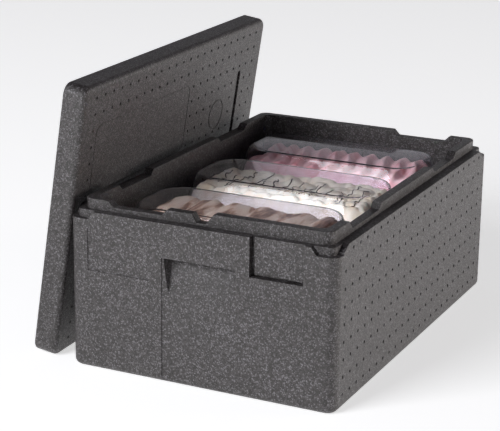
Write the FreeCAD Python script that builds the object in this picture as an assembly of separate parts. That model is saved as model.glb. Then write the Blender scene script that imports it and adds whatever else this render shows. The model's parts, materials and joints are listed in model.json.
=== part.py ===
"""Insulated food carrier: a foam box for three ice cream pans, with its lid leaning on it.

Millimetres. +Z is up, +Y runs along the long side from the near short end to the far one,
+X points to the right-hand long side. The origin is the centre of the box's flat base.
Every separate piece is written to parts/NAME.step in its place.
"""
import FreeCAD
import Part
import math
import os

from FreeCAD import Vector

# ---- foam box ----
BOX_X = 400.0              # footprint across
BOX_Y = 600.0              # footprint along
BOX_CORNER = 16.0          # radius of the upright corners
BOX_FOOT_R = 9.0           # rounding along the base
WALL_TOP = 228.0           # ledge the lid's skirt rests on
FLOOR = 30.0               # foam under the pans
LEDGE = 15.0               # width of the ledge around the tongue
WALL = 29.0                # wall thickness at the rim
CAVITY_R = 12.0
CAVITY_FOOT_R = 8.0

# ---- castellated tongue around the mouth ----
TONGUE_TOP = 246.0         # block around the near right corner
TONGUE_STEP = 242.5        # all other blocks
TONGUE_LOW = 234.0
TONGUE_GAP = 231.0         # bottom of the narrow lifting gap
TONGUE_EDGE = 1.5          # rounding of its top edges
RAMP = 12.0                # length of a sloped block end
HIGH_X = -9.0              # the high block starts at the lifting gap
HIGH_Y = -150.0            # and ends in the first low stretch of the right side

# ---- corner notches in the outer wall ----
NOTCH_FLOOR = 217.0
NOTCH_INSET = 8.0
NOTCH_END_X = 30.0         # length of the notch floor along the short end
NOTCH_SIDE_Y = 18.0        # length of the notch floor along the long side
NOTCH_RAMP_X = 8.0
NOTCH_RAMP_Y = 18.0

# ---- features of the short ends ----
HANDLE_TOP_HALF = 53.5
HANDLE_LOW_HALF = 46.0
HANDLE_Z = (127.0, 179.0)
HANDLE_DEPTH = 20.0
HANDLE_SIDE_DRAFT = 5.0
HANDLE_ROOF_DROP = 3.0
PANEL_HALF = 56.0          # shallow field around and below the handle
PANEL_DEPTH = 1.5
LABEL_X = (-171.0, -74.0)
LABEL_Z = (144.0, 204.0)
LABEL_DEPTH = 1.5
SLOT_X = (75.0, 152.0)     # card slot open to the top edge
SLOT_Z = 173.0
SLOT_STEP_Z = 201.0
SLOT_DEPTH = 5.0
SLOT_LOW_DEPTH = 6.2
SLOT_SIDE_GROOVE = 4.5
SLOT_FOOT_GROOVE = 2.5
SLOT_GROOVE_DEPTH = 11.0

# ---- lid ----
LID_T = 36.0
LID_EDGE_R = 8.0
LID_CORNER = 16.0
LID_LEAN = 8.45             # degrees from upright, towards the box
LID_TURN = 1.77            # degrees the leaning lid is turned in plan
LID_FOOT = Vector(-233.7, -290.85, -1.09)  # near end of its lower outer edge, before rounding
TONGUE_CLEAR = 1.5         # play between tongue and groove
GROOVE_DEPTH = 19.0
FINGER_SLOT_S = 520.0      # distance of the long slot from the near end
FINGER_SLOT_W = (75.0, 325.0)
FINGER_SLOT_WIDE = 10.0
FINGER_SLOT_DEPTH = 7.0

# ---- pans, covers and ice cream ----
PAN_X = 325.0
PAN_Y = 176.0
PAN_H = 150.0
PAN_PITCH = 177.0
PAN_WALL = 2.5
PAN_RIM_R = 22.0
PAN_MOUTH = (300.0, 151.0)
PAN_BASE = (284.0, 132.0)
PAN_MOUTH_R = 30.0
PAN_BASE_R = 24.0
PAN_LIFT = 0.4             # pan base above the foam floor
COVER_GAP = 0.3
COVER_WALL = 2.2
COVER_TOP = 225.0
COVER_BASE = (306.0, 157.0)
COVER_CROWN = (284.0, 124.0)
COVER_BASE_R = 38.0
COVER_CROWN_R = 42.0
COVER_EDGE_R = 7.0
COVER_INSET = 1.0          # cover flange stays this far inside the pan rim
FILL_GAP = 0.5
FILL_TOP = 196.0
FILL_CROWN = 214.0
FILL_SHOULDER_IN = (8.0, 10.0)   # how much smaller the ice cream is at its shoulder
FILL_CROWN_IN = (34.0, 38.0)     # and at its top
PANS = {"front": -1, "middle": 0, "rear": 1}
FILLINGS = {"front": "gelato_caramel", "middle": "gelato_cream", "rear": "gelato_strawberry"}

# ---- chocolate drizzle on the cream ----
DRIZZLE_R = 1.5
DRIZZLE_LINES = 9
DRIZZLE_SPAN = 116.0
DRIZZLE_RISE = 5.0


def rounded_wire(size_x, size_y, radius, z, centre_y=0.0):
    """Closed rectangle with rounded corners at height z."""
    hx, hy, r = size_x / 2, size_y / 2, radius
    corners = [(hx, hy, 0), (-hx, hy, 90), (-hx, -hy, 180), (hx, -hy, 270)]
    arcs = []
    for x, y, start in corners:
        cx = x - math.copysign(r, x)
        cy = y - math.copysign(r, y)
        points = []
        for turn in (0, 45, 90):
            a = math.radians(start + turn)
            points.append(Vector(cx + r * math.cos(a), centre_y + cy + r * math.sin(a), z))
        arcs.append(points)
    edges = []
    for i, arc in enumerate(arcs):
        edges.append(Part.Arc(*arc).toShape())
        edges.append(Part.makeLine(arc[2], arcs[(i + 1) % 4][0]))
    return Part.Wire(edges)


def rounded_prism(size_x, size_y, radius, z0, z1, centre_y=0.0):
    face = Part.Face(rounded_wire(size_x, size_y, radius, z0, centre_y))
    return face.extrude(Vector(0, 0, z1 - z0))


def tapered(low, low_r, high, high_r, z0, z1, centre_y=0.0):
    """Solid between two rounded rectangles of different size."""
    wires = [
        rounded_wire(low[0], low[1], low_r, z0, centre_y),
        rounded_wire(high[0], high[1], high_r, z1, centre_y),
    ]
    return Part.makeLoft(wires, True, True)


def block(x0, x1, y0, y1, z0, z1):
    return Part.makeBox(x1 - x0, y1 - y0, z1 - z0, Vector(x0, y0, z0))


def profile_x(points, x0, x1):
    """Prism along X from a (y, z) outline."""
    wire = Part.makePolygon([Vector(x0, y, z) for y, z in points + points[:1]])
    return Part.Face(wire).extrude(Vector(x1 - x0, 0, 0))


def profile_y(points, y0, y1):
    """Prism along Y from an (x, z) outline."""
    wire = Part.makePolygon([Vector(x, y0, z) for x, z in points + points[:1]])
    return Part.Face(wire).extrude(Vector(0, y1 - y0, 0))


def turned(shape):
    """The same feature at the opposite short end: half a turn about the upright axis."""
    copy = shape.copy()
    copy.rotate(Vector(0, 0, 0), Vector(0, 0, 1), 180)
    return copy


def edges_at(shape, z, tolerance=0.01):
    """Edges that lie wholly at one height."""
    return [
        e for e in shape.Edges
        if abs(e.BoundBox.ZMin - z) < tolerance and abs(e.BoundBox.ZMax - z) < tolerance
    ]


def fuse_all(shapes):
    return shapes[0].multiFuse(shapes[1:]).removeSplitter()


# ---------------------------------------------------------------- box

def gap(start, end, floor, ramps=(RAMP, RAMP)):
    """Outline of one low stretch of the tongue: (position, height) corners."""
    over = TONGUE_TOP + 2
    return [
        (start, over),
        (start, TONGUE_TOP),
        (start + ramps[0], floor),
        (end - ramps[1], floor),
        (end, TONGUE_TOP),
        (end, over),
    ]


def tongue():
    """Raised ring with high blocks, low stretches and one narrow lifting gap."""
    outer_x, outer_y = BOX_X - 2 * LEDGE, BOX_Y - 2 * LEDGE
    ring = rounded_prism(outer_x, outer_y, BOX_CORNER - 2, WALL_TOP - 6, TONGUE_TOP)
    near = (-BOX_Y / 2, -BOX_Y / 2 + WALL + 1)
    far = (BOX_Y / 2 - WALL - 1, BOX_Y / 2)
    left = (-BOX_X / 2, -BOX_X / 2 + WALL + 1)
    right = (BOX_X / 2 - WALL - 1, BOX_X / 2)
    over = TONGUE_TOP + 2
    cuts = [
        block(-BOX_X / 2, HIGH_X, -BOX_Y / 2, BOX_Y / 2, TONGUE_STEP, over),
        block(-BOX_X / 2, BOX_X / 2, HIGH_Y, BOX_Y / 2, TONGUE_STEP, over),
        profile_y(gap(-150, -52, TONGUE_LOW), *near),
        profile_y(gap(-20, 15, TONGUE_GAP, (10, RAMP)), *near),
        profile_y(gap(47, 148, TONGUE_LOW), *far),
        profile_x(gap(-227, -110, TONGUE_LOW), *right),
        profile_x(gap(86, 198, TONGUE_LOW, (RAMP, 1.5 * RAMP)), *right),
        profile_x(gap(-214, -108, TONGUE_LOW), *left),
        profile_x(gap(92, 204, TONGUE_LOW, (RAMP, 1.5 * RAMP)), *left),
    ]
    return ring.cut(fuse_all(cuts))


def corner_notch_cuts():
    """Everything outside the inset inner layer, near each upright corner."""
    hx, hy = BOX_X / 2, BOX_Y / 2
    over = WALL_TOP + 2
    core = rounded_prism(
        BOX_X - 2 * NOTCH_INSET, BOX_Y - 2 * NOTCH_INSET, BOX_CORNER - 6, NOTCH_FLOOR - 5, over + 5
    )
    fx = hx - NOTCH_END_X
    fy = hy - NOTCH_SIDE_Y
    end_outline = [
        (fx - NOTCH_RAMP_X, over), (fx - NOTCH_RAMP_X, WALL_TOP), (fx, NOTCH_FLOOR),
        (hx + 2, NOTCH_FLOOR), (hx + 2, over),
    ]
    side_outline = [
        (fy - NOTCH_RAMP_Y, over), (fy - NOTCH_RAMP_Y, WALL_TOP), (fy, NOTCH_FLOOR),
        (hy + 2, NOTCH_FLOOR), (hy + 2, over),
    ]
    cuts = []
    for sx in (-1, 1):
        for sy in (-1, 1):
            end = profile_y([(sx * x, z) for x, z in end_outline], *sorted((sy * (hy + 2), sy * (hy - 22))))
            side = profile_x([(sy * y, z) for y, z in side_outline], *sorted((sx * (hx + 2), sx * (hx - 22))))
            cuts.append(end.cut(core))
            cuts.append(side.cut(core))
    return cuts


def handle_pocket():
    """Hand pocket: level roof at the top, floor sloping out to the face at the bottom."""
    front = -BOX_Y / 2 - 2
    face = -BOX_Y / 2 + PANEL_DEPTH
    back = -BOX_Y / 2 + HANDLE_DEPTH
    low, high = HANDLE_Z
    inner_half = HANDLE_TOP_HALF - HANDLE_SIDE_DRAFT
    top_left = Vector(-HANDLE_TOP_HALF, face, high)
    top_right = Vector(HANDLE_TOP_HALF, face, high)
    low_left = Vector(-HANDLE_LOW_HALF, face, low)
    low_right = Vector(HANDLE_LOW_HALF, face, low)
    in_left = Vector(-inner_half, back, high - HANDLE_ROOF_DROP)
    in_right = Vector(inner_half, back, high - HANDLE_ROOF_DROP)
    outlines = [
        [top_left, top_right, low_right, low_left],
        [low_left, low_right, in_right, in_left],
        [top_left, in_left, in_right, top_right],
        [top_left, low_left, in_left],
        [top_right, in_right, low_right],
    ]
    faces = [Part.Face(Part.makePolygon(o + o[:1])) for o in outlines]
    wedge = Part.makeSolid(Part.makeShell(faces))
    if wedge.Volume < 0:
        wedge.reverse()
    mouth = Part.Face(Part.makePolygon(outlines[0] + outlines[0][:1])).extrude(Vector(0, front - face, 0))
    return wedge.fuse(mouth)


def short_end_cuts():
    face = -BOX_Y / 2
    out = face - 2
    groove = face + SLOT_GROOVE_DEPTH
    over = WALL_TOP + 5
    panel = block(-PANEL_HALF, PANEL_HALF, out, face + PANEL_DEPTH, -1, HANDLE_Z[1])
    label = block(*LABEL_X, out, face + LABEL_DEPTH, *LABEL_Z)
    slot_high = block(*SLOT_X, out, face + SLOT_DEPTH, SLOT_STEP_Z, over)
    slot_low = block(*SLOT_X, out, face + SLOT_LOW_DEPTH, SLOT_Z, SLOT_STEP_Z)
    side = block(SLOT_X[0], SLOT_X[0] + SLOT_SIDE_GROOVE, out, groove, SLOT_Z, over)
    foot = block(*SLOT_X, out, groove, SLOT_Z, SLOT_Z + SLOT_FOOT_GROOVE)
    return [panel, label, slot_high, slot_low, side, foot, handle_pocket()]


def box_body():
    body = rounded_prism(BOX_X, BOX_Y, BOX_CORNER, 0, WALL_TOP)
    body = body.makeFillet(BOX_FOOT_R, edges_at(body, 0.0))
    cuts = corner_notch_cuts()
    for cut in short_end_cuts():
        cuts.append(cut)
        cuts.append(turned(cut))
    for cut in cuts:
        body = body.cut(cut)
    ring = tongue()
    body = body.fuse(ring)
    cavity = rounded_prism(
        BOX_X - 2 * WALL, BOX_Y - 2 * WALL, CAVITY_R, FLOOR, TONGUE_TOP + 5
    )
    cavity = cavity.makeFillet(CAVITY_FOOT_R, edges_at(cavity, FLOOR))
    body = body.cut(cavity).removeSplitter()
    return body.makeFillet(TONGUE_EDGE, [e for e in body.Edges if e.BoundBox.ZMin > TONGUE_GAP - 0.1])


# ---------------------------------------------------------------- lid

def lid_flat():
    """Lid lying in its own frame: x along its width, y along its length, outer face at z = 0."""
    half = Vector(BOX_X / 2, BOX_Y / 2, 0)
    slab = rounded_prism(BOX_X, BOX_Y, LID_CORNER, -LID_T, 0)
    slab = slab.makeFillet(LID_EDGE_R, edges_at(slab, 0.0))
    slab = slab.makeFillet(LID_EDGE_R / 2, edges_at(slab, -LID_T))
    outer_x = BOX_X - 2 * LEDGE + 2 * TONGUE_CLEAR
    outer_y = BOX_Y - 2 * LEDGE + 2 * TONGUE_CLEAR
    inner_x = BOX_X - 2 * WALL - 2 * TONGUE_CLEAR
    inner_y = BOX_Y - 2 * WALL - 2 * TONGUE_CLEAR
    low, high = -LID_T - 1, -LID_T + GROOVE_DEPTH
    groove = rounded_prism(outer_x, outer_y, BOX_CORNER, low, high)
    groove = groove.cut(rounded_prism(inner_x, inner_y, CAVITY_R - 3, low - 1, high + 1))
    lid = slab.cut(groove)
    w0, w1 = FINGER_SLOT_W
    r = FINGER_SLOT_WIDE / 2
    slot = rounded_prism(w1 - w0, FINGER_SLOT_WIDE, r - 0.01, -FINGER_SLOT_DEPTH, 1)
    slot.translate(Vector((w0 + w1) / 2 - half.x, FINGER_SLOT_S - half.y, 0))
    return lid.cut(slot)


def lid_axes():
    """Directions of the leaning lid: down its width, along its length, out of its outer face."""
    lean, turn = math.radians(LID_LEAN), math.radians(LID_TURN)
    across = Vector(math.cos(turn), math.sin(turn), 0)
    along = Vector(-math.sin(turn), math.cos(turn), 0)
    up_slope = across * math.sin(lean) + Vector(0, 0, math.cos(lean))
    outward = across * math.cos(lean) - Vector(0, 0, math.sin(lean))
    return up_slope * -1, along, outward


def lid_body():
    """The lid stood on its long edge and leaned against the rim of the box."""
    down, along, outward = lid_axes()
    foot = LID_FOOT - down * (BOX_X / 2) + along * (BOX_Y / 2)
    place = FreeCAD.Matrix(
        down.x, along.x, outward.x, foot.x,
        down.y, along.y, outward.y, foot.y,
        down.z, along.z, outward.z, foot.z,
        0, 0, 0, 1,
    )
    lid = lid_flat()
    lid.Placement = FreeCAD.Placement(place)
    return lid


# ---------------------------------------------------------------- pans

def pan_levels():
    base = FLOOR + PAN_LIFT
    return base, base + PAN_H


def pan(centre):
    base, rim = pan_levels()
    flange = rounded_prism(PAN_X, PAN_Y, PAN_RIM_R, rim - PAN_WALL, rim, centre)
    outer = tapered(PAN_BASE, PAN_BASE_R, PAN_MOUTH, PAN_MOUTH_R, base, rim - 0.5, centre)
    t = 2 * PAN_WALL
    inner = tapered(
        (PAN_BASE[0] - t, PAN_BASE[1] - t), PAN_BASE_R - PAN_WALL,
        (PAN_MOUTH[0] - t, PAN_MOUTH[1] - t), PAN_MOUTH_R - PAN_WALL,
        base + PAN_WALL, rim + 0.5, centre,
    )
    return flange.fuse(outer).cut(inner).removeSplitter()


def cover(centre):
    """Tall clear dome on a flat flange that lies on the pan's rim."""
    low = pan_levels()[1] + COVER_GAP
    flange = rounded_prism(
        PAN_X - 2 * COVER_INSET, PAN_Y - 2 * COVER_INSET, PAN_RIM_R - COVER_INSET,
        low, low + COVER_WALL, centre,
    )
    outer = tapered(COVER_BASE, COVER_BASE_R, COVER_CROWN, COVER_CROWN_R, low, COVER_TOP, centre)
    outer = outer.makeFillet(COVER_EDGE_R, edges_at(outer, COVER_TOP))
    t = 2 * COVER_WALL
    inner = tapered(
        (COVER_BASE[0] - t, COVER_BASE[1] - t), COVER_BASE_R - COVER_WALL,
        (COVER_CROWN[0] - t, COVER_CROWN[1] - t), COVER_CROWN_R - COVER_WALL,
        low - 1, COVER_TOP - COVER_WALL, centre,
    )
    inner = inner.makeFillet(COVER_EDGE_R - COVER_WALL, edges_at(inner, COVER_TOP - COVER_WALL))
    return flange.fuse(outer).cut(inner).removeSplitter()


def filling(centre):
    """Ice cream filling the pan and mounded above its rim, under the dome."""
    base = pan_levels()[0]
    t = 2 * (PAN_WALL + FILL_GAP)
    rim = pan_levels()[1]
    low_size = (PAN_BASE[0] - t, PAN_BASE[1] - t)
    rim_size = (PAN_MOUTH[0] - t, PAN_MOUTH[1] - t)
    body = tapered(
        low_size, PAN_BASE_R - t / 2, rim_size, PAN_MOUTH_R - t / 2,
        base + PAN_WALL + FILL_GAP, rim - 1, centre,
    )
    shoulder_size = tuple(size - cut for size, cut in zip(rim_size, FILL_SHOULDER_IN))
    crown_size = tuple(size - cut for size, cut in zip(rim_size, FILL_CROWN_IN))
    shoulder = tapered(
        rim_size, PAN_MOUTH_R - t / 2, shoulder_size, PAN_MOUTH_R, rim - 1, FILL_TOP, centre
    )
    crown = tapered(
        shoulder_size, PAN_MOUTH_R, crown_size, PAN_MOUTH_R, FILL_TOP, FILL_CROWN, centre
    )
    return fuse_all([body, shoulder, crown])


def drizzle(centre):
    """Thin chocolate strands laid in zigzags over the cream, just above its mound."""
    strands = []
    half_y = DRIZZLE_SPAN / 4
    step = 2 * DRIZZLE_SPAN / DRIZZLE_LINES
    z = FILL_CROWN + DRIZZLE_R + 0.1
    points = []
    for i in range(DRIZZLE_LINES + 1):
        side = half_y if i % 2 else -half_y
        points.append(Vector(-DRIZZLE_SPAN + i * step, centre + side, z))
    for a, b in zip(points, points[1:]):
        strands.append(Part.makeCylinder(DRIZZLE_R, (b - a).Length, a, b - a))
        strands.append(Part.makeSphere(DRIZZLE_R, b))
    strands.append(Part.makeSphere(DRIZZLE_R, points[0]))
    return fuse_all(strands)


def main():
    os.makedirs("parts", exist_ok=True)
    nodes = {"box_body": box_body(), "lid_body": lid_body()}
    for name, index in PANS.items():
        centre = index * PAN_PITCH
        nodes["pan_" + name] = pan(centre)
        nodes["cover_" + name] = cover(centre)
        nodes[FILLINGS[name]] = filling(centre)
    nodes["chocolate_drizzle"] = drizzle(0.0)
    for name, shape in nodes.items():
        box = shape.BoundBox
        print(name, shape.ShapeType, len(shape.Solids), shape.isValid(), round(shape.Volume / 1e3),
              [round(v, 1) for v in (box.XMin, box.XMax, box.YMin, box.YMax, box.ZMin, box.ZMax)])
        shape.exportStep("parts/" + name + ".step")


main()
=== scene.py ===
"""Foam carrier with a leaning lid and three domed pans of ice cream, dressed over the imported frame."""
import bmesh
import bpy
import json
import math
import random
from mathutils import Matrix, Vector, noise


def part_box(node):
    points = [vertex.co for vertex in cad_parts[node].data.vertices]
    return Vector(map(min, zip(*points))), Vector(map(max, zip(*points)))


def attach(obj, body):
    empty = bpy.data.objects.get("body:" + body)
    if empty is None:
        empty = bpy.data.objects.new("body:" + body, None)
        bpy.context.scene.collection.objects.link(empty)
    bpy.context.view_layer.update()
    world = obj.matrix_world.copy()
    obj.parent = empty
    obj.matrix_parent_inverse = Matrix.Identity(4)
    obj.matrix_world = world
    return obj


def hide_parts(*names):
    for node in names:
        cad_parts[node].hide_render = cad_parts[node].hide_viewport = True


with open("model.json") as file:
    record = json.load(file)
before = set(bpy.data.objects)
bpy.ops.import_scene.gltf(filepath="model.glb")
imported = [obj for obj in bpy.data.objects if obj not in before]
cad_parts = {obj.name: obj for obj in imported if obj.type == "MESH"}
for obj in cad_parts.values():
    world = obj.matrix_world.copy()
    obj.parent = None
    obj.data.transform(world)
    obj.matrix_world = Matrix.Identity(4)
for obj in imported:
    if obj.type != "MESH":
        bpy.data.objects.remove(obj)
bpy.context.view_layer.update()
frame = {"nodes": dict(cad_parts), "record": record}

MM = 0.001
PANS = ("front", "middle", "rear")

# Foam: edge rounding, thickness of the lid, and the vent pits' size and spacing
EDGE_R = 0.55 * MM
LID_T = 36 * MM
PIT_R, PIT_DEPTH = 2.45 * MM, 2.8 * MM
BOX_PIT_COUNT = 24
BOX_PIT_ROWS = 9
BOX_PIT_PITCH = (24.17 * MM, 24.5 * MM)
BOX_PIT_TOP = 193 * MM
BOX_PIT_SHIFT = 6.3 * MM
BOX_PIT_END = 36 * MM
LID_PIT_PITCH = (24.2 * MM, 24 * MM)
LID_PIT_COLUMNS = 11
LID_PIT_ROWS = 16
LID_MIDDLE = 200 * MM

# Marks moulded into the lid, from the middle of its foot: across, up, and half sizes
RING_AT, RING_R = (148 * MM, 265 * MM), 24 * MM
FIELD_AT, FIELD_HALF, FIELD_R = (-110 * MM, 285 * MM), (146 * MM, 52 * MM), 14 * MM
FIELD_CLEAR = (152 * MM, 61 * MM)
SLOT_AT, SLOT_HALF, SLOT_ENDS = 217.8 * MM, 8 * MM, (70 * MM, 330 * MM)

# Ice cream: clearance to the pan, the pan's corner and depth, and how its edge falls away
ICE_GAP = 2 * MM
ICE_CORNER_R = 28 * MM
ICE_RIM = 145 * MM
ICE_EDGE = 22 * MM
ICE_BASE_IN = (8 * MM, 9.5 * MM)
ICE_SIDE_RINGS = 6

# Camera: place in metres, turn in degrees and a focal length in sensor widths
CAMERA_AT = (0.97914, -2.18142, 0.89546)
CAMERA_YAW, CAMERA_PITCH, CAMERA_ROLL = 25.66, 16.99, 0.76
SENSOR_WIDTH = 36.0
FOCAL_WIDTHS = 3.3746


# ------------------------------------------------------------------ mesh helpers

def link(name, mesh):
    ob = bpy.data.objects.new(name, mesh)
    bpy.context.scene.collection.objects.link(ob)
    return ob


def flatten_shading(ob):
    """Lets the large flat faces rule the shading beside their rounded edges."""
    mod = ob.modifiers.new("flat_faces", "WEIGHTED_NORMAL")
    mod.mode = "FACE_AREA"
    mod.weight = 100
    mod.keep_sharp = True


def finish_piece(ob, material, body, nodes=()):
    """Material, slot, body and the CAD nodes a piece stands for."""
    ob.data.materials.clear()
    ob.data.materials.append(material)
    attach(ob, body)
    if nodes:
        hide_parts(*nodes)
    return ob


def smooth(mesh, degrees=35):
    for polygon in mesh.polygons:
        polygon.use_smooth = True
    mesh.set_sharp_from_angle(angle=math.radians(degrees))


def solid_copy(node, name):
    """Copy of a CAD solid's mesh without its stored normals."""
    mesh = frame["nodes"][node].data.copy()
    mesh.name = name
    stored = mesh.attributes.get("custom_normal")
    if stored:
        mesh.attributes.remove(stored)
    bm = bmesh.new()
    bm.from_mesh(mesh)
    bmesh.ops.remove_doubles(bm, verts=bm.verts, dist=1e-6)
    bm.to_mesh(mesh)
    bm.free()
    return mesh


def softened_copy(node, name, offset, min_angle=36, segments=2):
    """Copy of a CAD solid whose flat faces are merged and whose sharp edges are rounded."""
    mesh = solid_copy(node, name)
    bm = bmesh.new()
    bm.from_mesh(mesh)
    bmesh.ops.dissolve_limit(
        bm, angle_limit=math.radians(0.6), verts=bm.verts, edges=bm.edges,
        use_dissolve_boundaries=False,
    )
    sharp = [
        e for e in bm.edges
        if e.is_manifold and e.calc_face_angle(0) > math.radians(min_angle)
    ]
    bmesh.ops.bevel(
        bm, geom=sharp, offset=offset, offset_type="OFFSET", segments=segments,
        profile=0.5, affect="EDGES", clamp_overlap=False, loop_slide=True,
    )
    bm.to_mesh(mesh)
    bm.free()
    return link(name, mesh)


def pit_cutters(points, normal, radius, depth):
    """One mesh of small tapered plugs that stand on a face, to be cut out of it."""
    bm = bmesh.new()
    turn = Vector((0, 0, 1)).rotation_difference(normal).to_matrix().to_4x4()
    for point in points:
        place = Matrix.Translation(point) @ turn
        bmesh.ops.create_cone(
            bm, cap_ends=True, segments=12, radius1=radius * 0.72, radius2=radius * 1.28,
            depth=2 * depth, matrix=place,
        )
    mesh = bpy.data.meshes.new("cutters")
    bm.to_mesh(mesh)
    bm.free()
    return link("cutters", mesh)


def cut_away(ob, cutter):
    """Cuts one mesh out of another and removes the cutter."""
    bpy.context.view_layer.update()
    mod = ob.modifiers.new("cut", "BOOLEAN")
    mod.operation = "DIFFERENCE"
    mod.solver = "EXACT"
    mod.object = cutter
    with bpy.context.temp_override(object=ob, active_object=ob, selected_objects=[ob]):
        bpy.ops.object.modifier_apply(modifier="cut")
    bpy.data.objects.remove(cutter, do_unlink=True)


# ------------------------------------------------------------------ materials

def material(name):
    mat = bpy.data.materials.new(name)
    mat.use_nodes = True
    tree = mat.node_tree
    tree.nodes.clear()
    out = tree.nodes.new("ShaderNodeOutputMaterial")
    shader = tree.nodes.new("ShaderNodeBsdfPrincipled")
    tree.links.new(shader.outputs["BSDF"], out.inputs["Surface"])
    return mat, tree, shader


def add(tree, kind, **values):
    """A node with its properties and unlinked inputs set by name."""
    node = tree.nodes.new(kind)
    for key, value in values.items():
        if hasattr(node, key):
            setattr(node, key, value)
        else:
            node.inputs[key.replace("_", " ")].default_value = value
    return node


def ramp(tree, source, stops):
    node = tree.nodes.new("ShaderNodeValToRGB")
    elements = node.color_ramp.elements
    while len(elements) < len(stops):
        elements.new(0.5)
    for element, (position, colour) in zip(elements, stops):
        element.position = position
        element.color = (*colour, 1)
    tree.links.new(source, node.inputs["Fac"])
    return node.outputs["Color"]


def mixed(tree, factor, a, b, blend="MIX"):
    node = tree.nodes.new("ShaderNodeMix")
    node.data_type = "RGBA"
    node.blend_type = blend
    for socket, value in ((node.inputs[0], factor), (node.inputs[6], a), (node.inputs[7], b)):
        if isinstance(value, (int, float)):
            socket.default_value = value
        elif isinstance(value, tuple):
            socket.default_value = (*value, 1)
        else:
            tree.links.new(value, socket)
    return node.outputs[2]


def foam_material():
    """Expanded bead foam: charcoal beads pressed flat, speckled with lighter grains and with painted
    glints of bead facets.
    """
    mat, tree, shader = material("bead_foam")
    place = add(tree, "ShaderNodeTexCoord").outputs["Object"]
    cells = add(tree, "ShaderNodeTexVoronoi", feature="F1", Scale=330.0, Randomness=1.0)
    seams = add(tree, "ShaderNodeTexVoronoi", feature="DISTANCE_TO_EDGE", Scale=330.0, Randomness=1.0)
    sparks = add(tree, "ShaderNodeTexVoronoi", feature="F1", Scale=620.0, Randomness=1.0)
    grit = add(tree, "ShaderNodeTexNoise", Scale=750.0, Detail=2.0, Roughness=0.7)
    cloud = add(tree, "ShaderNodeTexNoise", Scale=9.0, Detail=4.0, Roughness=0.6)
    for node in (cells, seams, sparks, grit, cloud):
        tree.links.new(place, node.inputs["Vector"])
    bead = add(tree, "ShaderNodeSeparateColor")
    tree.links.new(cells.outputs["Color"], bead.inputs[0])
    spark = add(tree, "ShaderNodeSeparateColor")
    tree.links.new(sparks.outputs["Color"], spark.inputs[0])
    tone = ramp(tree, bead.outputs[0], [
        (0.0, (0.015, 0.011, 0.010)), (0.5, (0.026, 0.022, 0.021)), (1.0, (0.056, 0.050, 0.050)),
    ])
    edge = ramp(tree, seams.outputs["Distance"], [(0.0, (0.62, 0.60, 0.58)), (0.10, (1, 1, 1))])
    tone = mixed(tree, 1.0, tone, edge, "MULTIPLY")
    fleck = ramp(tree, grit.outputs["Fac"], [(0.38, (0.35, 0.33, 0.31)), (0.60, (1.7, 1.7, 1.72))])
    tone = mixed(tree, 0.85, tone, fleck, "MULTIPLY")
    # Painted glints: light specks added to the colour where bead facets would catch the light.
    painted_glint = ramp(tree, spark.outputs[1], [(0.70, (0, 0, 0)), (1.0, (0.125, 0.12, 0.13))])
    tone = mixed(tree, 1.0, tone, painted_glint, "ADD")
    drift = ramp(tree, cloud.outputs["Fac"], [(0.3, (0.9, 0.89, 0.88)), (0.7, (1.08, 1.08, 1.09))])
    tone = mixed(tree, 1.0, tone, drift, "MULTIPLY")
    tree.links.new(tone, shader.inputs["Base Color"])
    rough = add(tree, "ShaderNodeMapRange", To_Min=0.56, To_Max=0.28)
    tree.links.new(grit.outputs["Fac"], rough.inputs["Value"])
    tree.links.new(rough.outputs["Result"], shader.inputs["Roughness"])
    dome = add(tree, "ShaderNodeBump", Strength=0.8, Distance=0.0009)
    fine = add(tree, "ShaderNodeBump", Strength=0.8, Distance=0.0008)
    tree.links.new(seams.outputs["Distance"], dome.inputs["Height"])
    tree.links.new(grit.outputs["Fac"], fine.inputs["Height"])
    tree.links.new(dome.outputs["Normal"], fine.inputs["Normal"])
    tree.links.new(fine.outputs["Normal"], shader.inputs["Normal"])
    shader.inputs["Specular IOR Level"].default_value = 0.7
    return mat


def clear_material(name, tint, roughness, ior):
    """Clear moulded plastic with a faint tint, handling marks and slow waves in its surface."""
    mat, tree, shader = material(name)
    place = add(tree, "ShaderNodeTexCoord").outputs["Object"]
    haze = add(tree, "ShaderNodeTexNoise", Scale=22.0, Detail=5.0, Roughness=0.65)
    wave = add(tree, "ShaderNodeTexNoise", Scale=16.0, Detail=1.0, Roughness=0.4)
    for node in (haze, wave):
        tree.links.new(place, node.inputs["Vector"])
    rough = add(tree, "ShaderNodeMapRange", To_Min=roughness, To_Max=roughness + 0.03)
    tree.links.new(haze.outputs["Fac"], rough.inputs["Value"])
    tree.links.new(rough.outputs["Result"], shader.inputs["Roughness"])
    colour = ramp(tree, haze.outputs["Fac"], [(0.2, tuple(0.97 * c for c in tint)), (0.8, tint)])
    tree.links.new(colour, shader.inputs["Base Color"])
    bump = add(tree, "ShaderNodeBump", Strength=0.12, Distance=0.0008)
    tree.links.new(wave.outputs["Fac"], bump.inputs["Height"])
    tree.links.new(bump.outputs["Normal"], shader.inputs["Normal"])
    lit = add(tree, "ShaderNodeLightPath")
    fade = add(tree, "ShaderNodeMath", operation="MULTIPLY_ADD")
    fade.inputs[1].default_value = -0.93
    fade.inputs[2].default_value = 1.0
    tree.links.new(lit.outputs["Is Shadow Ray"], fade.inputs[0])
    tree.links.new(fade.outputs[0], shader.inputs["Alpha"])
    shader.inputs["Transmission Weight"].default_value = 1.0
    shader.inputs["IOR"].default_value = ior
    shader.inputs["Specular IOR Level"].default_value = 0.8
    return mat


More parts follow.
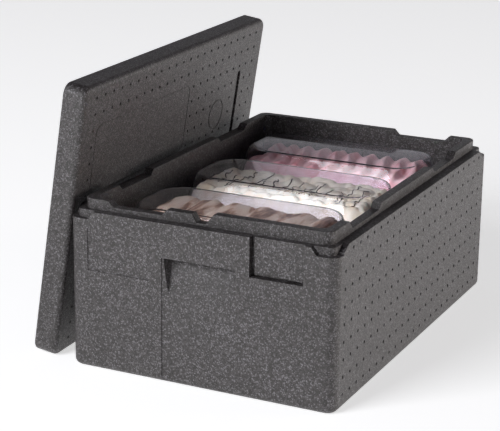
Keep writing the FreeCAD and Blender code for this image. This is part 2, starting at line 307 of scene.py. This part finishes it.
def ice_material(name, stops, scale, streak, gloss=0.42):
    """Ice cream: colour folded through it in streaks, with a fine crystalline surface."""
    mat, tree, shader = material(name)
    place = add(tree, "ShaderNodeTexCoord").outputs["Object"]
    stretch = add(tree, "ShaderNodeMapping")
    stretch.inputs["Scale"].default_value = streak
    tree.links.new(place, stretch.inputs["Vector"])
    folds = add(tree, "ShaderNodeTexNoise", Scale=scale, Detail=4.0, Roughness=0.55, Distortion=1.2)
    tree.links.new(stretch.outputs["Vector"], folds.inputs["Vector"])
    crystals = add(tree, "ShaderNodeTexNoise", Scale=420.0, Detail=3.0, Roughness=0.6)
    tree.links.new(place, crystals.inputs["Vector"])
    tree.links.new(ramp(tree, folds.outputs["Fac"], stops), shader.inputs["Base Color"])
    bump = add(tree, "ShaderNodeBump", Strength=0.35, Distance=0.0006)
    tree.links.new(crystals.outputs["Fac"], bump.inputs["Height"])
    tree.links.new(bump.outputs["Normal"], shader.inputs["Normal"])
    rough = add(tree, "ShaderNodeMapRange", To_Min=gloss - 0.1, To_Max=gloss + 0.15)
    tree.links.new(crystals.outputs["Fac"], rough.inputs["Value"])
    tree.links.new(rough.outputs["Result"], shader.inputs["Roughness"])
    shader.inputs["Subsurface Weight"].default_value = 0.25
    shader.inputs["Subsurface Radius"].default_value = (0.006, 0.004, 0.003)
    shader.inputs["Subsurface Scale"].default_value = 1.0
    return mat


FOAM = foam_material()
CLEAR_PAN = clear_material("clear_pan", (0.93, 0.94, 0.97), 0.01, 1.4)
CLEAR_COVER = clear_material("clear_cover", (0.94, 0.93, 0.975), 0.0, 1.28)
STRAWBERRY = ice_material("strawberry_ice", [
    (0.32, (0.76, 0.33, 0.36)), (0.45, (0.90, 0.53, 0.56)), (0.7, (0.95, 0.69, 0.70)),
], 18.0, (1, 1, 1))
CREAM = ice_material("cream_ice", [
    (0.30, (0.74, 0.62, 0.46)), (0.5, (0.87, 0.80, 0.67)), (0.75, (0.92, 0.87, 0.78)),
], 30.0, (1, 1, 1))
CARAMEL = ice_material("caramel_ice", [
    (0.36, (0.13, 0.06, 0.04)), (0.45, (0.45, 0.27, 0.19)), (0.53, (0.76, 0.60, 0.49)),
    (0.75, (0.86, 0.74, 0.63)),
], 16.0, (2.6, 0.5, 0.6))
CHOCOLATE = ice_material("chocolate", [
    (0.35, (0.020, 0.009, 0.006)), (0.7, (0.060, 0.026, 0.016)),
], 40.0, (1, 1, 1), 0.25)


# ------------------------------------------------------------------ foam box and lid

def box_pits():
    """Rows of vent pits on both long sides of the box."""
    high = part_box("box_body")[1]
    for side in (-1, 1):
        points = []
        for i in range(BOX_PIT_COUNT):
            y = side * ((i - (BOX_PIT_COUNT - 1) / 2) * BOX_PIT_PITCH[0] + BOX_PIT_SHIFT)
            for j in range(-1, BOX_PIT_ROWS - 1):
                z = BOX_PIT_TOP - j * BOX_PIT_PITCH[1] + (1.5 * MM if j < 0 else 0)
                if abs(y) > high.y - BOX_PIT_END and j < 0:
                    continue
                points.append(Vector((side * high.x, y, z)))
        yield pit_cutters(points, Vector((side, 0, 0)), PIT_R, PIT_DEPTH)


box = softened_copy("box_body", "foam_box", EDGE_R)
for cutter in box_pits():
    cut_away(box, cutter)
smooth(box.data, 50)
flatten_shading(box)
finish_piece(box, FOAM, "box", ["box_body"])


def lid_frame():
    """The leaning lid, from its hinge: directions up its slope, along it and outward, and its foot."""
    joint = next(j for j in frame["record"]["behaviour"]["joints"] if j["name"] == "lid_tip")
    along = -Vector(joint["axis"]).normalized()
    lean = math.radians(joint["range_deg"][1] - 90)
    flat = along.cross(Vector((0, 0, 1)))
    up = (flat * math.sin(lean) + Vector((0, 0, 1)) * math.cos(lean)).normalized()
    outward = (flat * math.cos(lean) - Vector((0, 0, 1)) * math.sin(lean)).normalized()
    pole = Vector(joint["pos_m"])
    foot = pole + outward * LID_T + up * (LID_T * math.tan(lean))
    return up, along, outward, foot


def lid_point(s, w):
    """Point of the lid's outer face, s along its foot from the middle and w up its slope."""
    up, along, _, foot = lid_frame()
    return foot + along * s + up * w


def outline_cutter(centre, half, radius, width, depth):
    """A closed band along a rounded outline on the lid's face, to be cut out of it."""
    outward = lid_frame()[2]
    loops = []
    for quarter, (side_s, side_w) in enumerate(((1, 1), (-1, 1), (-1, -1), (1, -1))):
        for k in range(17):
            angle = (quarter + k / 16) * math.pi / 2
            normal_s, normal_w = math.cos(angle), math.sin(angle)
            middle_s = centre[0] + side_s * (half[0] - radius)
            middle_w = centre[1] + side_w * (half[1] - radius)
            loops.append((middle_s, middle_w, normal_s, normal_w))
    bm = bmesh.new()
    rings = []
    for reach, height in ((1, 1), (1, -1), (-1, -1), (-1, 1)):
        ring = []
        for middle_s, middle_w, normal_s, normal_w in loops:
            r = radius + reach * width / 2
            point = lid_point(middle_s + r * normal_s, middle_w + r * normal_w)
            ring.append(bm.verts.new(point + outward * height * depth))
        rings.append(ring)
    for a, b in zip(rings, rings[1:] + rings[:1]):
        for i in range(len(a)):
            k = (i + 1) % len(a)
            bm.faces.new((a[i], a[k], b[k], b[i]))
    bmesh.ops.remove_doubles(bm, verts=bm.verts, dist=1e-6)
    bmesh.ops.recalc_face_normals(bm, faces=bm.faces)
    mesh = bpy.data.meshes.new("band")
    bm.to_mesh(mesh)
    bm.free()
    return link("band", mesh)


def lid_pits():
    """Rows of vent pits over the lid's outer face, with none in its slot, field and ring."""
    points = []
    for i in range(-LID_PIT_COLUMNS, LID_PIT_COLUMNS + 1):
        s = i * LID_PIT_PITCH[0]
        for j in range(LID_PIT_ROWS):
            w = LID_MIDDLE + (j - (LID_PIT_ROWS - 1) / 2) * LID_PIT_PITCH[1]
            in_slot = abs(s - SLOT_AT) < SLOT_HALF and SLOT_ENDS[0] < w < SLOT_ENDS[1]
            beside_field = (abs(s - FIELD_AT[0]) / FIELD_CLEAR[0], abs(w - FIELD_AT[1]) / FIELD_CLEAR[1])
            in_ring = math.hypot(s - RING_AT[0], w - RING_AT[1]) < RING_R + 5 * MM
            if not (in_slot or max(beside_field) < 1 or in_ring):
                points.append(lid_point(s, w))
    return pit_cutters(points, lid_frame()[2], PIT_R, PIT_DEPTH)


lid = softened_copy("lid_body", "foam_lid", EDGE_R)
cut_away(lid, lid_pits())
cut_away(lid, outline_cutter(RING_AT, (RING_R, RING_R), RING_R, 2.4 * MM, 0.9 * MM))
cut_away(lid, outline_cutter(FIELD_AT, FIELD_HALF, FIELD_R, 1.6 * MM, 0.6 * MM))
smooth(lid.data, 50)
flatten_shading(lid)
finish_piece(lid, FOAM, "lid", ["lid_body"])


# ------------------------------------------------------------------ pans and covers

for name in PANS:
    for kind, mat in (("pan", CLEAR_PAN), ("cover", CLEAR_COVER)):
        node = f"{kind}_{name}"
        ob = link(f"clear_{node}", solid_copy(node, f"clear_{node}"))
        smooth(ob.data, 30)
        finish_piece(ob, mat, node, [node])


# ------------------------------------------------------------------ ice cream

def rounded_limit(x, y, half_x, half_y, radius):
    """How far inside a rounded rectangle a point lies."""
    dx = abs(x) - (half_x - radius)
    dy = abs(y) - (half_y - radius)
    if dx > 0 and dy > 0:
        return radius - math.hypot(dx, dy)
    return min(half_x - abs(x), half_y - abs(y))


def ice_surface(node, name, height, mat, body, step=1.6 * MM):
    """A scooped surface over the pan's mouth, closed by the sides and base of its CAD solid."""
    low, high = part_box(node)
    centre = (low + high) / 2
    half_x, half_y = (high.x - low.x) / 2 - ICE_GAP, (high.y - low.y) / 2 - ICE_GAP
    radius = ICE_CORNER_R
    rim = low.z + ICE_RIM
    count_x, count_y = round(2 * half_x / step), round(2 * half_y / step)
    bm = bmesh.new()
    rows = []
    for j in range(count_y + 1):
        row = []
        for i in range(count_x + 1):
            u, v = 2 * i / count_x - 1, 2 * j / count_y - 1
            x, y = u * half_x, v * half_y
            corner_x = max(0.0, abs(x) - (half_x - radius))
            corner_y = max(0.0, abs(y) - (half_y - radius))
            if corner_x > 0 and corner_y > 0:
                far = max(corner_x, corner_y)
                squeeze = far / math.hypot(corner_x, corner_y)
                x = math.copysign(half_x - radius + corner_x * squeeze, x)
                y = math.copysign(half_y - radius + corner_y * squeeze, y)
            inside = rounded_limit(x, y, half_x, half_y, radius)
            edge = min(1.0, max(0.0, inside / ICE_EDGE))
            z = rim + (height(x, y) - rim) * (edge * (2 - edge)) ** 0.8
            row.append(bm.verts.new((centre.x + x, centre.y + y, z)))
        rows.append(row)
    for j in range(count_y):
        for i in range(count_x):
            bm.faces.new((rows[j][i], rows[j][i + 1], rows[j + 1][i + 1], rows[j + 1][i]))
    border = rows[0] + [r[-1] for r in rows[1:]] + rows[-1][-2::-1] + [r[0] for r in rows[-2:0:-1]]
    rings = [border]
    depth = rim - low.z
    for k in range(1, ICE_SIDE_RINGS + 1):
        t = k / ICE_SIDE_RINGS
        shrink_x = 1 - t * ICE_BASE_IN[0] / half_x
        shrink_y = 1 - t * ICE_BASE_IN[1] / half_y
        ring = []
        for vert in border:
            ring.append(bm.verts.new((
                centre.x + (vert.co.x - centre.x) * shrink_x,
                centre.y + (vert.co.y - centre.y) * shrink_y,
                rim - depth * t,
            )))
        rings.append(ring)
    for upper, lower in zip(rings, rings[1:]):
        for i in range(len(upper)):
            k = (i + 1) % len(upper)
            bm.faces.new((upper[k], upper[i], lower[i], lower[k]))
    bm.faces.new(rings[-1][::-1])
    bmesh.ops.recalc_face_normals(bm, faces=bm.faces)
    mesh = bpy.data.meshes.new(name)
    bm.to_mesh(mesh)
    bm.free()
    smooth(mesh, 60)
    ob = link(name, mesh)
    return finish_piece(ob, mat, body, [node])


def wobble(x, y, scale, seed):
    return noise.noise(Vector((x * scale, y * scale, seed)))


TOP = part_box("gelato_cream")[1].z


def strawberry_height(x, y):
    """Spatula waves: a row of rolled peaks along the pan, leaning one way."""
    along = x / (27 * MM) + 0.35 * math.sin(y / (26 * MM)) + 0.25 * wobble(x, y, 18, 3.1)
    phase = along - math.floor(along)
    lift = phase / 0.68 if phase < 0.68 else (1 - phase) / 0.32
    peak = lift * lift * (3 - 2 * lift)
    swell = 0.75 + 0.25 * math.cos(y / (70 * MM) * math.pi)
    return TOP - 10 * MM + 10 * MM * peak * swell + 2 * MM * wobble(x, y, 60, 1.7)


def cream_height(x, y):
    """Heaped dollops of different sizes pressed against each other."""
    best = 0.0
    for k, size in enumerate((26 * MM, 17 * MM)):
        distance = noise.voronoi(Vector((x / size, y / size, 7.3 + k)))[0][0]
        best = max(best, (1 - min(1.0, distance * 1.25) ** 2) * (1.0 - 0.25 * k))
    return TOP - 9 * MM + 9 * MM * best + 1.5 * MM * wobble(x, y, 90, 9.2)


def caramel_height(x, y):
    """Broad folds laid across the pan, with softer ripples along them."""
    fold = x / (46 * MM) + 0.5 * wobble(x, y, 12, 5.0)
    phase = fold - math.floor(fold)
    roll = math.sin(math.pi * phase) ** 0.7
    ripple = 0.5 + 0.5 * math.sin(x / (5.5 * MM) + 3 * wobble(x, y, 25, 2.0))
    return TOP - 8 * MM + 6 * MM * roll + 1.6 * MM * ripple + 1.5 * MM * wobble(x, y, 50, 4.4)


ice_surface("gelato_strawberry", "strawberry_gelato", strawberry_height, STRAWBERRY,
            "pan_rear")
ice_surface("gelato_cream", "cream_gelato", cream_height, CREAM, "pan_middle")
ice_surface("gelato_caramel", "caramel_gelato", caramel_height, CARAMEL, "pan_front")


def drizzle():
    """Poured chocolate: thin strands swung back and forth over the cream, following its surface."""
    rng = random.Random(11)
    low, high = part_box("gelato_cream")
    centre = (low + high) / 2
    curve = bpy.data.curves.new("drizzle", "CURVE")
    curve.dimensions = "3D"
    curve.bevel_depth = 1.0 * MM
    curve.bevel_resolution = 2
    curve.resolution_u = 2
    for strand in range(15):
        x = (-128 + 17 * strand + rng.uniform(-5, 5)) * MM
        swing = rng.uniform(34, 52) * MM
        lean = rng.uniform(-7, 11) * MM
        points = []
        for k in range(26):
            y = swing * (k / 12.5 - 1)
            across = x + lean * (k / 12.5 - 1) + 7 * MM * wobble(k * 0.007, strand * 0.02, 60, 8.8)
            points.append((across, y))
        start = rng.randint(0, 6)
        points = points[start:rng.randint(15, 26)]
        spline = curve.splines.new("NURBS")
        spline.points.add(len(points) - 1)
        for k, ((px, py), target) in enumerate(zip(points, spline.points)):
            height = cream_height(px, py) + 0.4 * MM
            target.co = (centre.x + px, centre.y + py, height, 1)
            target.radius = 0.5 + 0.9 * abs(wobble(px, py, 70, 3.3))
        spline.order_u = 3
        spline.use_endpoint_u = True
    ob = link("drizzle_curve", curve)
    bpy.context.view_layer.update()
    mesh = bpy.data.meshes.new_from_object(ob)
    bpy.data.objects.remove(ob, do_unlink=True)
    smooth(mesh, 60)
    piece = link("chocolate_strands", mesh)
    finish_piece(piece, CHOCOLATE, "pan_middle", ["chocolate_drizzle"])


drizzle()


# ------------------------------------------------------------------ floor, light and camera

def stage():
    """Wide pale floor."""
    bm = bmesh.new()
    bmesh.ops.create_grid(bm, x_segments=8, y_segments=8, size=9.0)
    mesh = bpy.data.meshes.new("floor")
    bm.to_mesh(mesh)
    bm.free()
    floor = link("floor", mesh)
    mat, tree, shader = material("pale_floor")
    shader.inputs["Base Color"].default_value = (0.93, 0.93, 0.93, 1)
    shader.inputs["Roughness"].default_value = 0.9
    shader.inputs["Emission Color"].default_value = (1, 1, 1, 1)
    shader.inputs["Emission Strength"].default_value = 0.60
    mesh.materials.append(mat)


def area_light(name, location, target, size, power, colour):
    light = bpy.data.lights.new(name, "AREA")
    light.shape = "RECTANGLE"
    light.size, light.size_y = size
    light.energy = power
    light.color = colour
    ob = link(name, light)
    ob.location = location
    ob.rotation_euler = (Vector(target) - Vector(location)).to_track_quat("-Z", "Y").to_euler()


def camera():
    """A long lens, set by its yaw, pitch and roll."""
    yaw, pitch, roll = (math.radians(turn) for turn in (CAMERA_YAW, CAMERA_PITCH, CAMERA_ROLL))
    right = Vector((math.cos(yaw), math.sin(yaw), 0))
    ahead = Vector((-math.sin(yaw), math.cos(yaw), 0))
    up = Vector((0, 0, 1))
    look = ahead * math.cos(pitch) - up * math.sin(pitch)
    over = up * math.cos(pitch) + ahead * math.sin(pitch)
    side = right * math.cos(roll) + over * math.sin(roll)
    top = over * math.cos(roll) - right * math.sin(roll)
    data = bpy.data.cameras.new("camera")
    data.sensor_width = SENSOR_WIDTH
    data.lens = SENSOR_WIDTH * FOCAL_WIDTHS
    ob = link("camera", data)
    ob.matrix_world = Matrix((
        (side.x, top.x, -look.x, CAMERA_AT[0]),
        (side.y, top.y, -look.y, CAMERA_AT[1]),
        (side.z, top.z, -look.z, CAMERA_AT[2]),
        (0, 0, 0, 1),
    ))
    data.clip_start, data.clip_end = 0.05, 60
    bpy.context.scene.camera = ob


def studio_world():
    """Dim studio with a pale glow low round the horizon and a dark ceiling."""
    world = bpy.data.worlds.new("world")
    world.use_nodes = True
    tree = world.node_tree
    back = tree.nodes["Background"]
    direction = add(tree, "ShaderNodeTexCoord").outputs["Generated"]
    split = add(tree, "ShaderNodeSeparateXYZ")
    tree.links.new(direction, split.inputs[0])
    glow = ramp(tree, split.outputs["Z"], [
        (0.0, (0.85, 0.85, 0.85)), (0.12, (0.55, 0.55, 0.57)), (0.30, (0.20, 0.19, 0.21)),
        (0.42, (0.04, 0.04, 0.045)), (1.0, (0.05, 0.05, 0.06)),
    ])
    tree.links.new(glow, back.inputs["Color"])
    back.inputs["Strength"].default_value = 1.0
    bpy.context.scene.world = world


stage()
camera()
studio_world()
area_light("key", (-2.2, -4.6, 2.9), (0, 0, 0.12), (3.0, 2.2), 225, (0.96, 0.97, 1.0))
area_light("side", (3.6, 1.9, 0.34), (0.2, 0.1, 0.12), (2.0, 0.6), 50, (1.0, 0.91, 0.85))
bpy.context.scene.view_settings.view_transform = "Standard"
